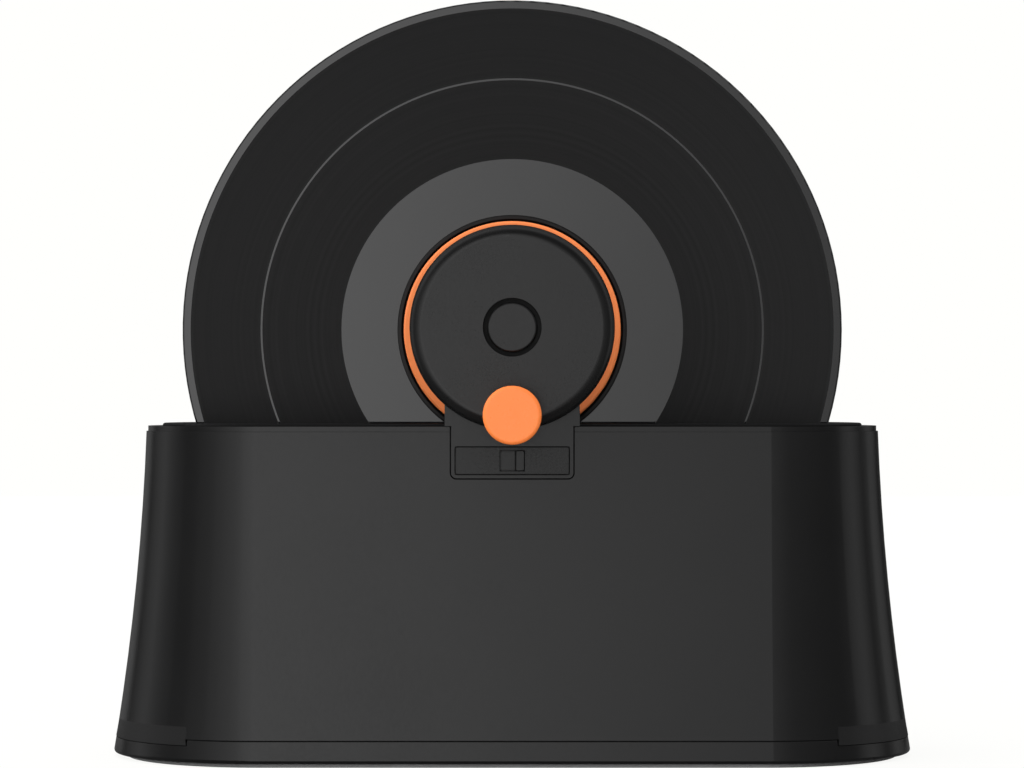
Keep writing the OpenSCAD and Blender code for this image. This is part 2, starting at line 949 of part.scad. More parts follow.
module guard_ring(way) {
    color(orange)
        turned(way)
            rolled_band(ring_r - ring_w, ring_r, guard_face, guard_face + ring_h, 1);
}

module seal(way) {
    outer = guard_r - 0.3;
    color(orange)
        turned(way)
            band(outer - seal_w, outer, half_groove, half_groove + seal_w);
}

module guard_screws(way) {
    head_seat = guard_face + flange_t;
    color(steel)
        about_axle(way)
            at_guard_screws()
                translate([0, 0, head_seat])
                    rotate([180, 0, 0])
                        pan_screw(head_seat - label_face - 1.2);
}

module sleeve_body(reach) {
    band(0, sleeve_r, guard_face, reach);
    rolled_band(0, flange_r, guard_face, guard_face + flange_t, 1);
}

module front_sleeve() {
    color(black)
        about_axle(FRONT)
            difference() {
                rotate_extrude($fn = curve_fn)
                    difference() {
                        sleeve_body(sleeve_end);
                        band(-1, spindle_r + seat_gap, 0, sleeve_end + 1);
                    }
                sleeve_screw_holes();
            }
}

module rear_sleeve() {
    color(black)
        about_axle(REAR)
            difference() {
                rotate_extrude($fn = curve_fn)
                    difference() {
                        sleeve_body(rear_sleeve_end);
                        band(-1, spindle_r + running_gap, 0, socket_end);
                        band(-1, screw_r + seat_gap, rear_sleeve_end - 14, rear_sleeve_end + 1);
                    }
                sleeve_screw_holes();
            }
}

module sleeve_screw_holes() {
    at_guard_screws()
        cylinder(r = screw_r + seat_gap, h = guard_face + flange_t + 1, $fn = 24);
}

module label_guard_front() {
    label_guard(FRONT);
}

module label_guard_rear() {
    label_guard(REAR);
}

module guard_ring_front() {
    guard_ring(FRONT);
}

module guard_ring_rear() {
    guard_ring(REAR);
}

module seal_front() {
    seal(FRONT);
}

module seal_rear() {
    seal(REAR);
}

module guard_screws_front() {
    guard_screws(FRONT);
}

module guard_screws_rear() {
    guard_screws(REAR);
}

// Spindle with a bore for the rod and a tapered nose that passes through the record
module spindle() {
    tip = -nose_len - 1.5;
    color(steel)
        turned(FRONT)
            polygon([[spindle_bore_r, spindle_end], [spindle_r, spindle_end],
                [spindle_r, tip + 1.5], [spindle_r - 1.2, tip], [0, tip],
                [0, tip + 3], [spindle_bore_r, tip + 3]]);
}

// Crank

module crank_disc() {
    color(black)
        about_axle(FRONT)
            difference() {
                union() {
                    rotate_extrude($fn = curve_fn)
                        disc_outline();
                    disc_ribs();
                    translate([0, -knob_offset, disc_back])
                        cylinder(r = collar_r, h = disc_t - disc_wall / 2, $fn = 48);
                }
                translate([0, -knob_offset, 0])
                    cylinder(r = pin_r, h = disc_face + 1, $fn = 48);
                translate([0, 0, sleeve_end + 6])
                    rotate([90, 0, 0])
                        cylinder(r = screw_r, h = hub_r + 1, $fn = 32);
            }
}

module disc_outline() {
    difference() {
        union() {
            rolled_band(0, disc_r, disc_back, disc_face, disc_fillet);
            band(0, hub_r, hub_start, disc_face);
        }
        band(hub_r, disc_r - disc_wall, disc_back - 1, disc_face - disc_wall);
        band(-1, sleeve_r + seat_gap, hub_start - 1, sleeve_end);
        band(-1, spindle_r + seat_gap, hub_start, disc_face);
        band(-1, button_r + slide_gap / 2, button_floor, disc_face + 1);
        band(-1, well_r, disc_face - well_depth, disc_face + 1);
    }
}

module disc_ribs() {
    for (i = [0:5])
        rotate([0, 0, 60 * i])
            box([hub_r - 1, -rib_t / 2, disc_back + 1.5],
                [disc_r - disc_wall + rib_bite, rib_t / 2, disc_face - disc_wall + rib_bite]);
}

module hub_screw() {
    color(steel)
        about_axle(FRONT)
            translate([0, 0, sleeve_end + 6])
                rotate([90, 0, 0])
                    translate([0, 0, spindle_r])
                        difference() {
                            cylinder(r = screw_r - seat_gap, h = hub_r - spindle_r - 1, $fn = 32);
                            translate([0, 0, hub_r - spindle_r - 3])
                                cylinder(r = screw_r / 2, h = 3, $fn = 6);
                        }
}

// Pin with a collar on the disc's face and a snap head inside the knob
module knob_pin() {
    color(steel)
        about_axle(FRONT)
            translate([0, -knob_offset, 0])
                rotate_extrude($fn = 48) {
                    band(0, pin_r, disc_back + 0.5, snap_space + 1);
                    band(0, collar_r, disc_face, disc_face + collar_t);
                    polygon([[0, snap_space + 0.3], [pin_r + 0.6, snap_space + 0.3],
                        [pin_r + 0.6, snap_space + 1.3], [pin_r - 1, snap_space + snap_t],
                        [0, snap_space + snap_t]]);
                }
}

module crank_knob() {
    wall = 1.8;
    color(orange)
        about_axle(FRONT)
            translate([0, -knob_offset, 0])
                rotate_extrude($fn = curve_fn)
                    difference() {
                        round_band(0, knob_r, knob_start, knob_end, knob_round);
                        band(-1, pin_r + running_gap, knob_start - 1, snap_space);
                        band(-1, pin_r + 1.2, snap_space, snap_space + snap_t + 1);
                        band(pin_r + 1.2 + wall, knob_r - wall, knob_start - 1, knob_end - 4);
                    }
}

// Round cap in the well of the disc
module release_button() {
    color(black)
        turned(FRONT)
            difference() {
                rolled_band(0, button_r, button_floor + button_travel + 1, disc_face, 0.8);
                band(pin_r, button_r - button_wall, button_floor, disc_face - button_wall);
                band(-1, spindle_bore_r, button_floor, disc_face - button_wall);
            }
}

module release_rod() {
    color(steel)
        turned(FRONT)
            band(0, spindle_bore_r - running_gap, -nose_len + 2 * button_travel, disc_face - button_wall);
}

function spring_point(t, turns, mean_r, low, high) =
    [mean_r * cos(360 * turns * t), mean_r * sin(360 * turns * t), low + (high - low) * t];

// Coil spring between the well's floor and the cap
module button_spring() {
    wire = 0.45;
    mean_r = (pin_r + button_r - button_wall) / 2;
    turns = 3.5;
    steps = 84;
    sides = 6;
    low = button_floor + wire;
    high = disc_face - button_wall - wire;
    points = [for (i = [0:steps])
        let (c = spring_point(i / steps, turns, mean_r, low, high), a = 360 * turns * i / steps)
        for (j = [0:sides - 1])
            c + wire * (cos(360 * j / sides) * [cos(a), sin(a), 0] + sin(360 * j / sides) * [0, 0, 1])];
    walls = [for (i = [0:steps - 1])
        for (j = [0:sides - 1])
            let (k = (j + 1) % sides)
            [i * sides + j, i * sides + k, (i + 1) * sides + k, (i + 1) * sides + j]];
    ends = [[for (j = [sides - 1:-1:0]) j], [for (j = [0:sides - 1]) steps * sides + j]];
    color(steel)
        about_axle(FRONT)
            polyhedron(points = points, faces = concat(walls, ends), convexity = 10);
}

// Clamp knob at the back with finger grooves
module rear_knob() {
    end = hub_start + clamp_knob_len;
    color(black)
        about_axle(REAR)
            difference() {
                rotate_extrude($fn = curve_fn)
                    difference() {
                        union() {
                            rolled_band(0, clamp_knob_r, hub_start + 6, end, 2);
                            band(0, sleeve_r + 4, hub_start, end - 4);
                        }
                        band(-1, sleeve_r + seat_gap, hub_start - 1, rear_sleeve_end);
                        band(-1, screw_r + seat_gap, hub_start, end + 1);
                        band(-1, screw_head_r + 0.5, end - screw_head_h - 1, end + 1);
                    }
                for (i = [0:9])
                    rotate([0, 0, 36 * i])
                        translate([clamp_knob_r + 2.5, 0, hub_start + 5])
                            cylinder(r = 4.5, h = clamp_knob_len, $fn = 32);
            }
}

module rear_knob_screw() {
    end = hub_start + clamp_knob_len;
    color(steel)
        about_axle(REAR)
            translate([0, 0, end - screw_head_h - 1])
                rotate([180, 0, 0])
                    pan_screw(16);
}

foot_ring();
base_tray();
base_screws();
outer_shell();
water_tank();
brush_holder_front();
brush_holder_rear();
brush_front();
brush_rear();
cradle_front();
cradle_rear();
lock_cover_front();
lock_cover_rear();
lock_slide_front();
lock_slide_rear();
bearing_front();
bearing_rear();
spindle();
front_sleeve();
label_guard_front();
guard_ring_front();
seal_front();
guard_screws_front();
vinyl_record();
record_labels();
crank_disc();
hub_screw();
knob_pin();
crank_knob();
release_button();
release_rod();
button_spring();
label_guard_rear();
guard_ring_rear();
seal_rear();
guard_screws_rear();
rear_sleeve();
rear_knob();
rear_knob_screw();
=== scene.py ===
"""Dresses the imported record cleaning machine: materials, fine bristles, studio and camera."""
import json
import math
import random

import bmesh
import bpy
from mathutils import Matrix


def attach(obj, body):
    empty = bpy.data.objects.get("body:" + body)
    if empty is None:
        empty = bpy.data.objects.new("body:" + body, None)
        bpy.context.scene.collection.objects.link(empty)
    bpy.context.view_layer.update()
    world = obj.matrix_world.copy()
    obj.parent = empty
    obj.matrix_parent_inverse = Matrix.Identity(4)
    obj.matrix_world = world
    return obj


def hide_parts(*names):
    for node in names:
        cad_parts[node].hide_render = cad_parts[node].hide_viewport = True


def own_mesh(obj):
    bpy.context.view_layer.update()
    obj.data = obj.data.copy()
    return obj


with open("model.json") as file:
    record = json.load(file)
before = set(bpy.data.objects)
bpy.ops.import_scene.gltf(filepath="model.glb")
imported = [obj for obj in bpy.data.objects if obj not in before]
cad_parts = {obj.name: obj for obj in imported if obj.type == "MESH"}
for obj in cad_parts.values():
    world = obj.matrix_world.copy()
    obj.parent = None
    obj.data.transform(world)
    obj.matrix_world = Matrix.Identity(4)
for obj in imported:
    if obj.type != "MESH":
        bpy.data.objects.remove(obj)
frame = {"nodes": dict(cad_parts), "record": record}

scene = bpy.context.scene
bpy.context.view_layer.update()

# Blender's lengths are metres. Lengths that a comment calls millimetres are multiplied by MM
MM = 0.001
AXLE_Z = 193.9 * MM


class Graph:
    """A node tree built with short calls."""

    def __init__(self, tree):
        self.tree = tree
        tree.nodes.clear()

    def add(self, kind, inputs=None, **settings):
        made = self.tree.nodes.new(kind)
        for name, value in settings.items():
            setattr(made, name, value)
        for socket, value in (inputs or {}).items():
            if isinstance(value, bpy.types.NodeSocket):
                self.tree.links.new(value, made.inputs[socket])
            else:
                made.inputs[socket].default_value = value
        return made

    def math(self, operation, a, b=0.0):
        return self.add("ShaderNodeMath", {0: a, 1: b}, operation=operation).outputs[0]

    def plus(self, total, *others):
        for other in others:
            total = self.math("ADD", total, other)
        return total

    def times(self, product, *others):
        for other in others:
            product = self.math("MULTIPLY", product, other)
        return product

    def minus(self, a, b):
        return self.math("SUBTRACT", a, b)

    def absolute(self, value):
        return self.math("ABSOLUTE", value)

    def axes(self, vector):
        return tuple(self.add("ShaderNodeSeparateXYZ", {0: vector}).outputs)

    def length(self, vector):
        made = self.add("ShaderNodeVectorMath", {0: vector}, operation="LENGTH")
        return made.outputs["Value"]

    def noise(self, vector, size, detail=2.0):
        """Smooth noise whose blobs are about as wide as size."""
        inputs = {"Vector": vector, "Scale": 1 / size, "Detail": detail}
        return self.add("ShaderNodeTexNoise", inputs).outputs["Fac"]

    def span(self, value, low, high, start=0.0, end=1.0, smooth=False):
        """Maps start..end onto low..high."""
        inputs = {"Value": value, "From Min": start, "From Max": end, "To Min": low, "To Max": high}
        kind = "SMOOTHSTEP" if smooth else "LINEAR"
        return self.add("ShaderNodeMapRange", inputs, interpolation_type=kind).outputs[0]

    def vary(self, noise, low=0.0, high=1.0):
        """Maps the range that a noise mostly stays in onto low..high."""
        return self.span(noise, low, high, 0.3, 0.7)

    def step(self, value, edge, soft=0.2):
        """Zero below an edge and one above it, edge and soft in millimetres."""
        return self.span(value, 0, 1, (edge - soft) * MM, (edge + soft) * MM, smooth=True)

    def below(self, value, edge, soft=0.2):
        """One below an edge and zero above it, in millimetres."""
        return self.minus(1.0, self.step(value, edge, soft))

    def band(self, value, low, high, soft=0.15):
        """One between two edges and zero elsewhere, in millimetres."""
        return self.times(self.step(value, low, soft), self.below(value, high, soft))

    def blend(self, factor, a, b):
        return self.add("ShaderNodeMix", {0: factor, 6: a, 7: b}, data_type="RGBA").outputs[2]

    def ramp(self, value, stops):
        """Grey levels between (place, level) stops."""
        made = self.add("ShaderNodeValToRGB", {0: value})
        elements = made.color_ramp.elements
        while len(elements) < len(stops):
            elements.new(0.5)
        for element, (place, level) in zip(elements, stops):
            element.position = place
            element.color = (level, level, level, 1)
        return made.outputs[0]

    def bump(self, height, depth, strength=1.0, **more):
        """Surface relief of a depth in millimetres."""
        inputs = {"Strength": strength, "Distance": depth * MM, "Height": height, **more}
        return self.add("ShaderNodeBump", inputs).outputs[0]

    def mix_shaders(self, factor, a, b):
        return self.add("ShaderNodeMixShader", {0: factor, 1: a.outputs[0], 2: b.outputs[0]})

    def by_ray(self, matt, glossy, seen):
        """One shader for matt light, one for reflections and one for the camera."""
        path = self.add("ShaderNodeLightPath")
        others = self.mix_shaders(path.outputs["Is Glossy Ray"], matt, glossy)
        return self.mix_shaders(path.outputs["Is Camera Ray"], others, seen)


# Camera and studio

CAMERA_PLACE = (-0.0001, -1.740, 0.16915)
CAMERA_LENS = 133.7

# Brightness of the studio in the object's reflections, by degrees from straight ahead of the
# crank side: a soft front light left of the camera, narrow side panels, and little behind
PANELS = [
    (-180, 0.12), (-160, 0.14), (-147, 0.26), (-140, 0.25), (-131, 0.06), (-116, 0.40),
    (-106, 0.72), (-98, 0.60), (-76, 0.18), (-66, 0.24), (-47, 0.68), (-30, 1.3),
    (-16, 1.85), (-8, 2.75), (-5, 2.95), (-2.6, 2.75), (0, 2.2), (2.3, 1.75),
    (4.9, 1.18), (8, 0.72), (18, 0.43), (34, 0.32), (62, 0.18), (75, 0.24),
    (84, 0.8), (93, 0.9), (102, 0.5), (110, 0.14), (126, 0.42), (135, 0.24),
    (148, 0.02), (180, 0.12)]
# A ramp holds levels up to one, so the panels are divided by their peak and multiplied again
PEAK = 4.0
OVERHEAD = 1.0
BACK_LIGHT = 0.9
LEAST_LIGHT = 0.01

# Soft light on matt surfaces, and how much it changes towards each side
AROUND = 1.5
FROM_ABOVE = 0.75
FROM_LEFT = 1.4
FROM_AHEAD = 0.3

SEEN_WHITE = (1, 1, 0.985, 1)
FLOOR_HALF = 4.0
FLOOR_GLOW = 0.91
FLOOR_MATT = (0.5, 0.5, 0.5, 1)
FLOOR_NEAR = 0.12
FLOOR_CLEARS = (0.20, 0.55)


def add_camera():
    """Stands where the photograph was taken: level, a little above the rim, 1.74 m away."""
    data = bpy.data.cameras.new("camera")
    data.sensor_width = 36
    data.lens = CAMERA_LENS
    data.clip_start = 0.05
    data.clip_end = 50
    camera = bpy.data.objects.new("camera", data)
    scene.collection.objects.link(camera)
    camera.location = CAMERA_PLACE
    camera.rotation_euler = (math.radians(90), 0, 0)
    scene.camera = camera


def reflected_light(graph, right, back, up):
    """Upright panels all round, a long strip overhead and a high light behind."""
    ahead = graph.times(back, -1.0)
    turn = graph.span(graph.math("ARCTAN2", right, ahead), 0.0, 1.0, -math.pi, math.pi)
    stops = [((degrees + 180) / 360, level / PEAK) for degrees, level in PANELS]
    low = graph.span(graph.absolute(up), PEAK, 0.0, 0.22, 0.62, smooth=True)
    panels = graph.times(graph.ramp(turn, stops), low)
    across = graph.span(graph.absolute(back), OVERHEAD, 0.0, 0.05, 0.50, smooth=True)
    overhead = graph.times(across, graph.span(up, 0.0, 1.0, 0.25, 0.55, smooth=True))
    behind = graph.times(graph.span(back, 0.0, BACK_LIGHT, 0.35, 0.6, smooth=True),
                         graph.span(up, 0.0, 1.0, 0.40, 0.6, smooth=True))
    return graph.plus(panels, overhead, behind, LEAST_LIGHT)


def add_world():
    """White for the camera, soft light on matt surfaces, and panels in what the gloss reflects."""
    world = bpy.data.worlds.new("studio")
    world.use_nodes = True
    scene.world = world
    graph = Graph(world.node_tree)
    right, back, up = graph.axes(graph.add("ShaderNodeTexCoord").outputs["Generated"])
    soft = graph.plus(graph.times(up, FROM_ABOVE), AROUND, graph.times(right, -FROM_LEFT),
                      graph.times(back, -FROM_AHEAD))
    gloss = reflected_light(graph, right, back, up)
    lights = [graph.add("ShaderNodeBackground", {"Strength": strength})
              for strength in (soft, gloss)]
    seen = graph.add("ShaderNodeBackground", {"Color": SEEN_WHITE, "Strength": 1.0})
    mixed = graph.by_ray(*lights, seen)
    graph.add("ShaderNodeOutputWorld", {"Surface": mixed.outputs[0]})


def add_floor():
    """White table. In reflections it is dark near the object and clears further out."""
    mesh = bpy.data.meshes.new("floor")
    corners = [(x * FLOOR_HALF, y * FLOOR_HALF, 0) for x, y in ((-1, -1), (1, -1), (1, 1), (-1, 1))]
    mesh.from_pydata(corners, [], [(0, 1, 2, 3)])
    floor = bpy.data.objects.new("floor", mesh)
    scene.collection.objects.link(floor)
    material, graph, place = new_material("floor")
    shade = graph.vary(graph.noise(place, 0.4), 0.064, 0.068)
    colour = graph.add("ShaderNodeCombineColor", {0: shade, 1: shade, 2: shade}).outputs[0]
    seen = graph.add("ShaderNodeBsdfPrincipled", {
        "Base Color": colour, "Roughness": 0.9, "Specular IOR Level": 0.0,
        "Emission Color": SEEN_WHITE, "Emission Strength": FLOOR_GLOW})
    matt = graph.add("ShaderNodeBsdfDiffuse", {"Color": FLOOR_MATT})
    near = graph.add("ShaderNodeEmission", {"Strength": FLOOR_NEAR})
    clear = graph.add("ShaderNodeBsdfTransparent")
    away = graph.span(graph.length(place), 0.0, 1.0, *FLOOR_CLEARS, smooth=True)
    mixed = graph.by_ray(matt, graph.mix_shaders(away, near, clear), seen)
    graph.add("ShaderNodeOutputMaterial", {"Surface": mixed.outputs[0]})
    mesh.materials.append(material)


# Materials

# How much lighter edges are painted, partly as wear and partly as a painted highlight
EDGE_WEAR_AND_HIGHLIGHT_TONE = 1.5
# How dark the painted shade in crevices and gaps gets
CREVICE_SHADE_TONE = 0.3
CREVICE_ROUGH = 0.55
CREVICE_REACH = 1.3

# Places on the object where the finish changes or where light and shade are painted, in
# millimetres, and how much rougher it is
LIP_X = 144.2
LIP_TOP = 17.4
# How much rougher the end lips are, which also sets how far their painted light reaches
LIP_DULL_AND_LIT = 0.26
WINDOW_X = 25.3
WINDOW_Z = 135.1
WINDOW_HALF = 6.1
WINDOW_DULL = 0.1
SHOULDER_X = 27.0
SHOULDER_Z = 150.2
# Width and strength of the painted shadow lines under the blocks' shoulders and round their window
# plates
SHADOW_LINE_WIDTH = 0.3
SHADOW_LINE_STRENGTH = 0.75
THUMB_FOOT = (1.25, 1.8)
WELL_RADIUS = 13.2
WELL_FRONT = -81.8
GROOVE_RADII = (48.5, 50.6)
GROOVE_DEPTH = 6.9
MOULD_DULL = 0.3

# The record and its label, in millimetres from the axle
MUSIC = (78.1, 147.0)
MUSIC_GAP = (114.2, 115.1)
GROOVE_PITCH = 0.32
LABEL_LINES = ((45.4, 46.0), (17.0, 17.6))


def new_material(name):
    material = bpy.data.materials.new(name)
    material.use_nodes = True
    graph = Graph(material.node_tree)
    place = graph.add("ShaderNodeTexCoord").outputs["Object"]
    return material, graph, place


def finish_material(graph, inputs):
    surface = graph.add("ShaderNodeBsdfPrincipled", inputs)
    graph.add("ShaderNodeOutputMaterial", {"Surface": surface.outputs[0]})


def tint(colour, factor):
    return tuple(min(1.0, c * factor) for c in colour) + (1,)


def plastic(name, colour, roughness, grain=0.35, depth=0.006, mottle=0.06, edge=0.35,
            dull=None, pale=1.0, shade=(0.15, 0.95), shadow_line=None, specular=0.5):
    """Moulded plastic or rubber: fine surface grain, faint blotches, and edges painted lighter,
    partly as wear and partly as a painted highlight.

    Grain, depth and edge are in millimetres. Dull marks where the finish is rougher and pale is
    how much lighter it is there. Shade is how open a place is where its painted crevice shade is
    darkest and where that shade stops, and the line function marks painted shadow lines at joints."""
    material, graph, place = new_material(name)
    blotches = graph.noise(place, 40 * MM, 3)
    fine = graph.noise(place, grain * MM, 3)
    specks = graph.noise(place, 3.2 * grain * MM, 2)
    rounded = graph.add("ShaderNodeBevel", {"Radius": edge * MM}, samples=4).outputs[0]
    flat = graph.add("ShaderNodeNewGeometry").outputs["Normal"]
    along = graph.add("ShaderNodeVectorMath", {0: rounded, 1: flat}, operation="DOT_PRODUCT")
    # Painted highlight and wear: where the rounded normal turns away from the flat one, edges get a
    # lighter colour
    worn_and_highlit_edge = graph.span(along.outputs["Value"], 0.35, 0.0, 0.75, 1.0)
    body = graph.blend(graph.vary(blotches), tint(colour, 1 - mottle), tint(colour, 1 + mottle))
    body = graph.blend(worn_and_highlit_edge, body, tint(colour, EDGE_WEAR_AND_HIGHLIGHT_TONE))
    # Painted shade: crevices, gaps and hollows get a darker colour, and a rougher finish, by how
    # closed in they are
    open_air = graph.add("ShaderNodeAmbientOcclusion", {"Distance": CREVICE_REACH * MM}, samples=8)
    crevice_shade = graph.span(open_air.outputs["AO"], 1.0, 0.0, *shade)
    # Painted shadow lines are added to the painted crevice shade
    if shadow_line:
        crevice_shade = graph.math("MAXIMUM", crevice_shade, shadow_line(graph, place))
    rough = graph.plus(graph.vary(specks, -0.04, 0.04), graph.vary(blotches, -0.03, 0.03),
                       roughness, graph.times(crevice_shade, CREVICE_ROUGH))
    # Where dull marks a place it is rougher and paler; on the end lips the paler colour is painted
    # light
    if dull:
        rougher_and_paler = dull(graph, place)
        rough = graph.plus(rough, rougher_and_paler)
        body = graph.blend(graph.span(rougher_and_paler, 0.0, 1.0, 0.0, MOULD_DULL), body, tint(colour, pale))
    body = graph.blend(crevice_shade, body, tint(colour, CREVICE_SHADE_TONE))
    relief = graph.plus(fine, graph.times(specks, 0.6))
    finish_material(graph, {
        "Base Color": body, "Roughness": rough, "Specular IOR Level": specular,
        "Normal": graph.bump(relief, depth, Normal=rounded)})
    return material


def axle_distance(graph, place):
    """Distance from the record's axle."""
    axes = graph.axes(place)
    flat = graph.add("ShaderNodeCombineXYZ", {0: axes[0], 2: graph.minus(axes[2], AXLE_Z)})
    return graph.length(flat.outputs[0])


def dull_and_lit_lips(graph, place):
    """The two lips at the ends of the body get a rougher finish than its wall, and a paler colour
    as painted light for how their faces catch the light.
    """
    axes = graph.axes(place)
    outside = graph.step(graph.absolute(axes[0]), LIP_X)
    return graph.times(outside, graph.below(axes[2], LIP_TOP, 0.5), LIP_DULL_AND_LIT)


def window_plate(graph, place, margin):
    """How far aside and up from its middle a place is, and one on the plate in a block's window."""
    axes = graph.axes(place)
    aside = graph.absolute(axes[0])
    level = graph.absolute(graph.minus(axes[2], WINDOW_Z * MM))
    inside = graph.times(graph.below(aside, WINDOW_X + margin, 0.1),
                         graph.below(level, WINDOW_HALF + margin, 0.1))
    return aside, level, inside


def dull_window(graph, place):
    """The plate in the window of a bearing block is a little coarser than the block."""
    return graph.times(window_plate(graph, place, 0.1)[2], WINDOW_DULL)


def block_shadow_lines(graph, place):
    """Painted thin shadows where a block's shoulders rest on the rim and round the plate in its
    window.
    """
    aside, level, inside = window_plate(graph, place, 0.2)
    height = graph.axes(place)[2]
    shoulder = graph.times(graph.step(aside, SHOULDER_X, 0.1),
                           graph.band(height, SHOULDER_Z - SHADOW_LINE_WIDTH, SHOULDER_Z + SHADOW_LINE_WIDTH))
    edges = [graph.span(value, 0, 1, (edge - SHADOW_LINE_WIDTH) * MM, (edge - SHADOW_LINE_WIDTH / 2) * MM, smooth=True)
             for value, edge in ((aside, WINDOW_X), (level, WINDOW_HALF))]
    window = graph.times(graph.math("MAXIMUM", *edges), inside, SHADOW_LINE_STRENGTH)
    return graph.math("MAXIMUM", shoulder, window)


def thumb_shadow_line(graph, place):
    """Painted shadow along the foot of a lock slide's thumb piece, on the left as seen from
    outside.
    """
    axes = graph.axes(place)
    outward = graph.math("SIGN", graph.times(axes[1], -1.0))
    return graph.band(graph.times(axes[0], outward), *THUMB_FOOT, 0.1)


def dull_well(graph, place):
    """The ring-shaped gap round the centre button is left as it came from the mould."""
    inside = graph.below(axle_distance(graph, place), WELL_RADIUS, 0.05)
    return graph.times(inside, graph.step(graph.axes(place)[1], WELL_FRONT), MOULD_DULL)


def dull_groove(graph, place):
    """So is the gap between the orange ring and the edge of the label guard."""
    inside = graph.band(axle_distance(graph, place), *GROOVE_RADII, 0.05)
    deep = graph.below(graph.absolute(graph.axes(place)[1]), GROOVE_DEPTH)
    return graph.times(inside, deep, MOULD_DULL)


def vinyl():
    """Pressed record: grooves that spread light along the radius, with the grooved band painted
    darker as painted shade, smooth where there are none.
    """
    material, graph, place = new_material("vinyl")
    radius = axle_distance(graph, place)
    music = graph.minus(graph.band(radius, *MUSIC), graph.band(radius, *MUSIC_GAP, 0.1))
    waves = graph.math("SINE", graph.times(radius, 2 * math.pi / (GROOVE_PITCH * MM)))
    across = graph.add("ShaderNodeCombineXYZ", {0: radius}).outputs[0]
    loudness = graph.noise(across, 1.6 * MM, 4)
    haze = graph.noise(place, 30 * MM, 3)
    rough = graph.add("ShaderNodeMix", {
        0: music, 2: graph.vary(haze, 0.02, 0.045), 3: graph.vary(loudness, 0.62, 0.78)})
    # Painted shade: the grooved band is coloured darker than the smooth bands, for the shade in the
    # grooves
    dull = graph.blend(graph.vary(loudness),
                       (0.0028, 0.0028, 0.003, 1), (0.0045, 0.0045, 0.0048, 1))
    clear = graph.blend(graph.vary(haze),
                        (0.0045, 0.0045, 0.0047, 1), (0.006, 0.006, 0.0063, 1))
    around = graph.add("ShaderNodeTangent", direction_type="RADIAL", axis="Y").outputs[0]
    finish_material(graph, {
        "Base Color": graph.blend(music, clear, dull), "Roughness": rough.outputs[0],
        "Normal": graph.bump(graph.times(waves, music), 0.012), "Anisotropic": 0.75,
        "Anisotropic Rotation": 0.25, "Tangent": around, "IOR": 1.5})
    return material


def label_paper():
    """Printed paper label with fibres and two plain rings."""
    material, graph, place = new_material("label_paper")
    radius = axle_distance(graph, place)
    fibres = graph.noise(place, 0.5 * MM, 5)
    paper = graph.blend(graph.vary(fibres), (0.50, 0.16, 0.08, 1), (0.62, 0.22, 0.11, 1))
    lines = graph.plus(*(graph.band(radius, *line, 0.05) for line in LABEL_LINES))
    finish_material(graph, {
        "Base Color": graph.blend(lines, paper, (0.78, 0.74, 0.66, 1)),
        "Roughness": graph.vary(fibres, 0.62, 0.78), "Normal": graph.bump(fibres, 0.02, 0.6)})
    return material


def steel():
    """Turned steel: fine lines round the axle and light blotches."""
    material, graph, place = new_material("steel")
    streaks = graph.add("ShaderNodeMapping", {"Vector": place, "Scale": (1, 12, 1)}).outputs[0]
    lines = graph.noise(streaks, 0.6 * MM, 4)
    blotches = graph.noise(place, 6 * MM, 3)
    metal = graph.blend(graph.vary(blotches), (0.50, 0.50, 0.51, 1), (0.62, 0.62, 0.63, 1))
    finish_material(graph, {
        "Base Color": metal, "Metallic": 1.0, "Roughness": graph.vary(lines, 0.24, 0.38),
        "Normal": graph.bump(lines, 0.01, 0.5)})
    return material


def bristle():
    """Off-white nylon that lets a little light through, with darker and lighter strands."""
    material, graph, place = new_material("bristle")
    strands = graph.noise(place, 0.25 * MM, 2)
    clumps = graph.noise(place, 4 * MM, 2)
    tone = graph.span(graph.plus(graph.times(strands, 0.7), graph.times(clumps, 0.3)),
                      0, 1, 0.35, 0.65)
    finish_material(graph, {
        "Base Color": graph.blend(tone, (0.62, 0.60, 0.54, 1), (0.84, 0.82, 0.77, 1)),
        "Roughness": graph.vary(strands, 0.32, 0.5), "Subsurface Weight": 0.15,
        "Subsurface Scale": 0.4 * MM, "Sheen Weight": 0.2})
    return material


BLACK = (0.0066, 0.0066, 0.0067)
MOULDED = dict(depth=0.002, edge=0.12, specular=0.262)
# Name, colour, roughness and the rest of what plastic() takes
PLASTICS = [
    # On the end lips pale paints a lighter colour as painted light, on top of their rougher finish
    ("shell_plastic", BLACK, 0.15, dict(dull=dull_and_lit_lips, pale=1.55, shade=(0.1, 0.65), **MOULDED)),
    ("base_plastic", BLACK, 0.15, MOULDED),
    # The blocks and lock slides get painted shadow lines at their joints
    ("block_plastic", BLACK, 0.15, dict(dull=dull_window, shadow_line=block_shadow_lines, **MOULDED)),
    ("lock_plastic", BLACK, 0.2, dict(depth=0.003, edge=0.15, shadow_line=thumb_shadow_line, specular=0.262)),
    ("tank_plastic", (0.0062, 0.0062, 0.0064), 0.5,
     dict(grain=0.5, depth=0.01, edge=0.3, specular=0.12)),
    ("crank_plastic", (0.007, 0.007, 0.0071), 0.24,
     dict(grain=0.25, depth=0.004, edge=0.2, dull=dull_well, pale=1.2, shade=(0.1, 0.7),
          specular=0.28)),
    ("guard_plastic", (0.0066, 0.006, 0.006), 0.42,
     dict(grain=0.3, edge=0.2, dull=dull_groove, specular=0.23)),
    ("grey_rubber", (0.285, 0.285, 0.287), 0.72, dict(grain=0.6, depth=0.02, mottle=0.1)),
    ("orange_rubber", (0.90, 0.245, 0.072), 0.55, dict(grain=0.4, mottle=0.03, specular=0.25)),
    ("orange_plastic", (0.87, 0.203, 0.036), 0.28, dict(grain=0.9, depth=0.003, mottle=0.02)),
    ("bearing_plastic", (0.70, 0.70, 0.67), 0.4, dict(mottle=0.03))]
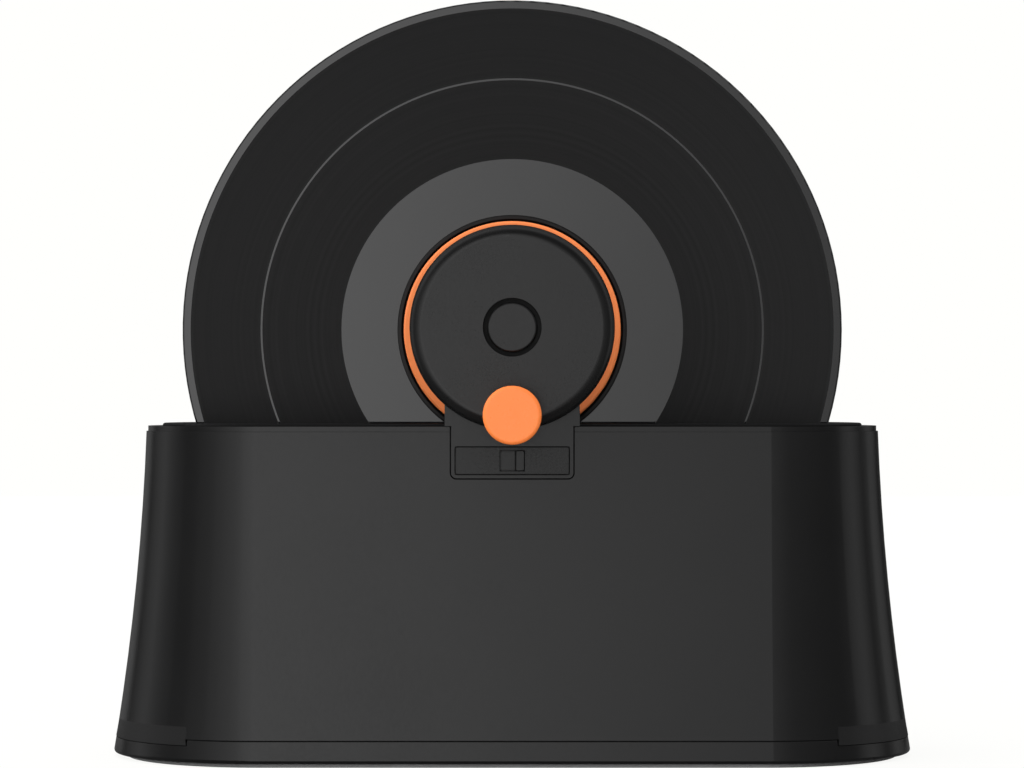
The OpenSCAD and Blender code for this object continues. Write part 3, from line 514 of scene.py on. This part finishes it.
# Nodes whose finish is not the plain one of their slot
OWN_FINISH = {
    "base_tray": "base_plastic",
    "cradle_front": "block_plastic", "cradle_rear": "block_plastic",
    "lock_cover_front": "block_plastic", "lock_cover_rear": "block_plastic",
    "lock_slide_front": "lock_plastic", "lock_slide_rear": "lock_plastic"}


def make_materials():
    made = {name: plastic(name, colour, roughness, **rest)
            for name, colour, roughness, rest in PLASTICS}
    return made | {make.__name__: make() for make in (vinyl, label_paper, bristle, steel)}


def dress_nodes(materials):
    for part in frame["record"]["subparts"]:
        mesh = frame["nodes"][part["node"]].data
        mesh.materials.clear()
        mesh.materials.append(materials[OWN_FINISH.get(part["node"], part["material_slot"])])


# Spring and brushes, the brushes in millimetres

PAD_WIDTH = 22
STRIP_FACE = 11.2
STRIP_BACK = 15.2
STRIP_CHAMFER = 0.6
STRIP_END = 1.5
STRIP_SPARE = 2
TIP_FACE = 1.25
TUFT_RADIUS = 1.45
TUFT_FOOT = 0.9
TUFT_PITCH = 5
TUFT_ROWS = 18
TUFT_COLUMNS = 4
TUFT_LOW = 46.9
STRANDS = 24
STRAND_SINK = 0.3
STRAND_BEND = 0.12
# Share of the way from foot to tip, and radius there
STRAND_RINGS = ((0.0, 0.11), (0.55, 0.10), (0.93, 0.085), (1.0, 0.04))
STRAND_SIDES = 4
GOLDEN_ANGLE = 2.39996


def add_button_spring(material):
    """The button's spring again as a piece of its own that moves with the rotor."""
    node = frame["nodes"]["button_spring"]
    mesh = node.data.copy()
    spring = bpy.data.objects.new("button_coil", mesh)
    scene.collection.objects.link(spring)
    spring.matrix_world = node.matrix_world.copy()
    mesh.materials.clear()
    mesh.materials.append(material)
    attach(spring, "rotor")
    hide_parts("button_spring")
    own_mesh(spring)


def join_rings(faces, start, sides, rings):
    """Walls between rings of vertices that follow each other."""
    for ring in range(rings - 1):
        for k in range(sides):
            a = start + sides * ring + k
            b = start + sides * ring + (k + 1) % sides
            faces.append((a, b, b + sides, a + sides))


def strip_mesh(verts, faces):
    """Backing strip with chamfered long edges."""
    half = PAD_WIDTH / 2
    low = TUFT_LOW - STRIP_END
    high = TUFT_LOW + (TUFT_ROWS - 1) * TUFT_PITCH + STRIP_SPARE + STRIP_END
    inner, shoulder = half - STRIP_CHAMFER, STRIP_FACE + STRIP_CHAMFER
    outline = [(-half, STRIP_BACK), (-half, shoulder), (-inner, STRIP_FACE),
               (inner, STRIP_FACE), (half, shoulder), (half, STRIP_BACK)]
    count = len(outline)
    start = len(verts)
    for z in (low, high):
        verts.extend((x, y, z) for x, y in outline)
    join_rings(faces, start, count, 2)
    faces.append(tuple(start + i for i in reversed(range(count))))
    faces.append(tuple(start + count + i for i in range(count)))


def strand_mesh(verts, faces, foot, tip, draw):
    """One bristle: a thin tapered rod that bends a little on its way."""
    start = len(verts)
    bend = (draw.uniform(-STRAND_BEND, STRAND_BEND), draw.uniform(-STRAND_BEND, STRAND_BEND))
    spin = draw.uniform(0, math.pi)
    for share, radius in STRAND_RINGS:
        side = math.sin(share * math.pi)
        x = foot[0] + (tip[0] - foot[0]) * share + bend[0] * side
        y = foot[1] + (tip[1] - foot[1]) * share
        z = foot[2] + (tip[2] - foot[2]) * share + bend[1] * side
        for k in range(STRAND_SIDES):
            angle = spin + k * 2 * math.pi / STRAND_SIDES
            verts.append((x + radius * math.cos(angle), y, z + radius * math.sin(angle)))
    join_rings(faces, start, STRAND_SIDES, len(STRAND_RINGS))
    top = start + STRAND_SIDES * (len(STRAND_RINGS) - 1)
    faces.append(tuple(top + k for k in range(STRAND_SIDES)))
    faces.append(tuple(start + k for k in reversed(range(STRAND_SIDES))))


def tuft_mesh(verts, faces, x, z, draw):
    """One tuft: bristles that stand together at the foot and spread towards the record."""
    for i in range(STRANDS):
        angle = i * GOLDEN_ANGLE
        reach = math.sqrt((i + 0.5) / STRANDS)
        right, rise = math.cos(angle), math.sin(angle)
        splay = (TUFT_RADIUS - STRAND_BEND) * reach * draw.uniform(0.88, 1.0)
        foot = (x + TUFT_FOOT * reach * right, STRIP_FACE + STRAND_SINK,
                z + TUFT_FOOT * reach * rise)
        tip = (x + splay * right, TIP_FACE + draw.uniform(0.0, 0.5), z + splay * rise)
        strand_mesh(verts, faces, foot, tip, draw)


def add_brush(name, node, side, material, seed):
    """Replaces a row of round tufts with fine bristles in the same places."""
    draw = random.Random(seed)
    verts, faces = [], []
    strip_mesh(verts, faces)
    for row in range(TUFT_ROWS):
        for column in range(TUFT_COLUMNS):
            x = (column - (TUFT_COLUMNS - 1) / 2) * TUFT_PITCH
            tuft_mesh(verts, faces, x, TUFT_LOW + row * TUFT_PITCH, draw)
    points = [(-x * MM * side, y * MM * side, z * MM) for x, y, z in verts]
    mesh = bpy.data.meshes.new(name)
    mesh.from_pydata(points, [], faces)
    mesh.materials.append(material)
    shape = bmesh.new()
    shape.from_mesh(mesh)
    bmesh.ops.recalc_face_normals(shape, faces=shape.faces)
    shape.to_mesh(mesh)
    shape.free()
    brush = bpy.data.objects.new(name, mesh)
    scene.collection.objects.link(brush)
    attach(brush, "base_unit")
    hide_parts(node)


scene.view_settings.view_transform = "Standard"
add_camera()
add_world()
add_floor()
materials = make_materials()
dress_nodes(materials)
add_button_spring(materials["steel"])
add_brush("bristles_front", "brush_front", -1, materials["bristle"], 11)
add_brush("bristles_rear", "brush_rear", 1, materials["bristle"], 12)
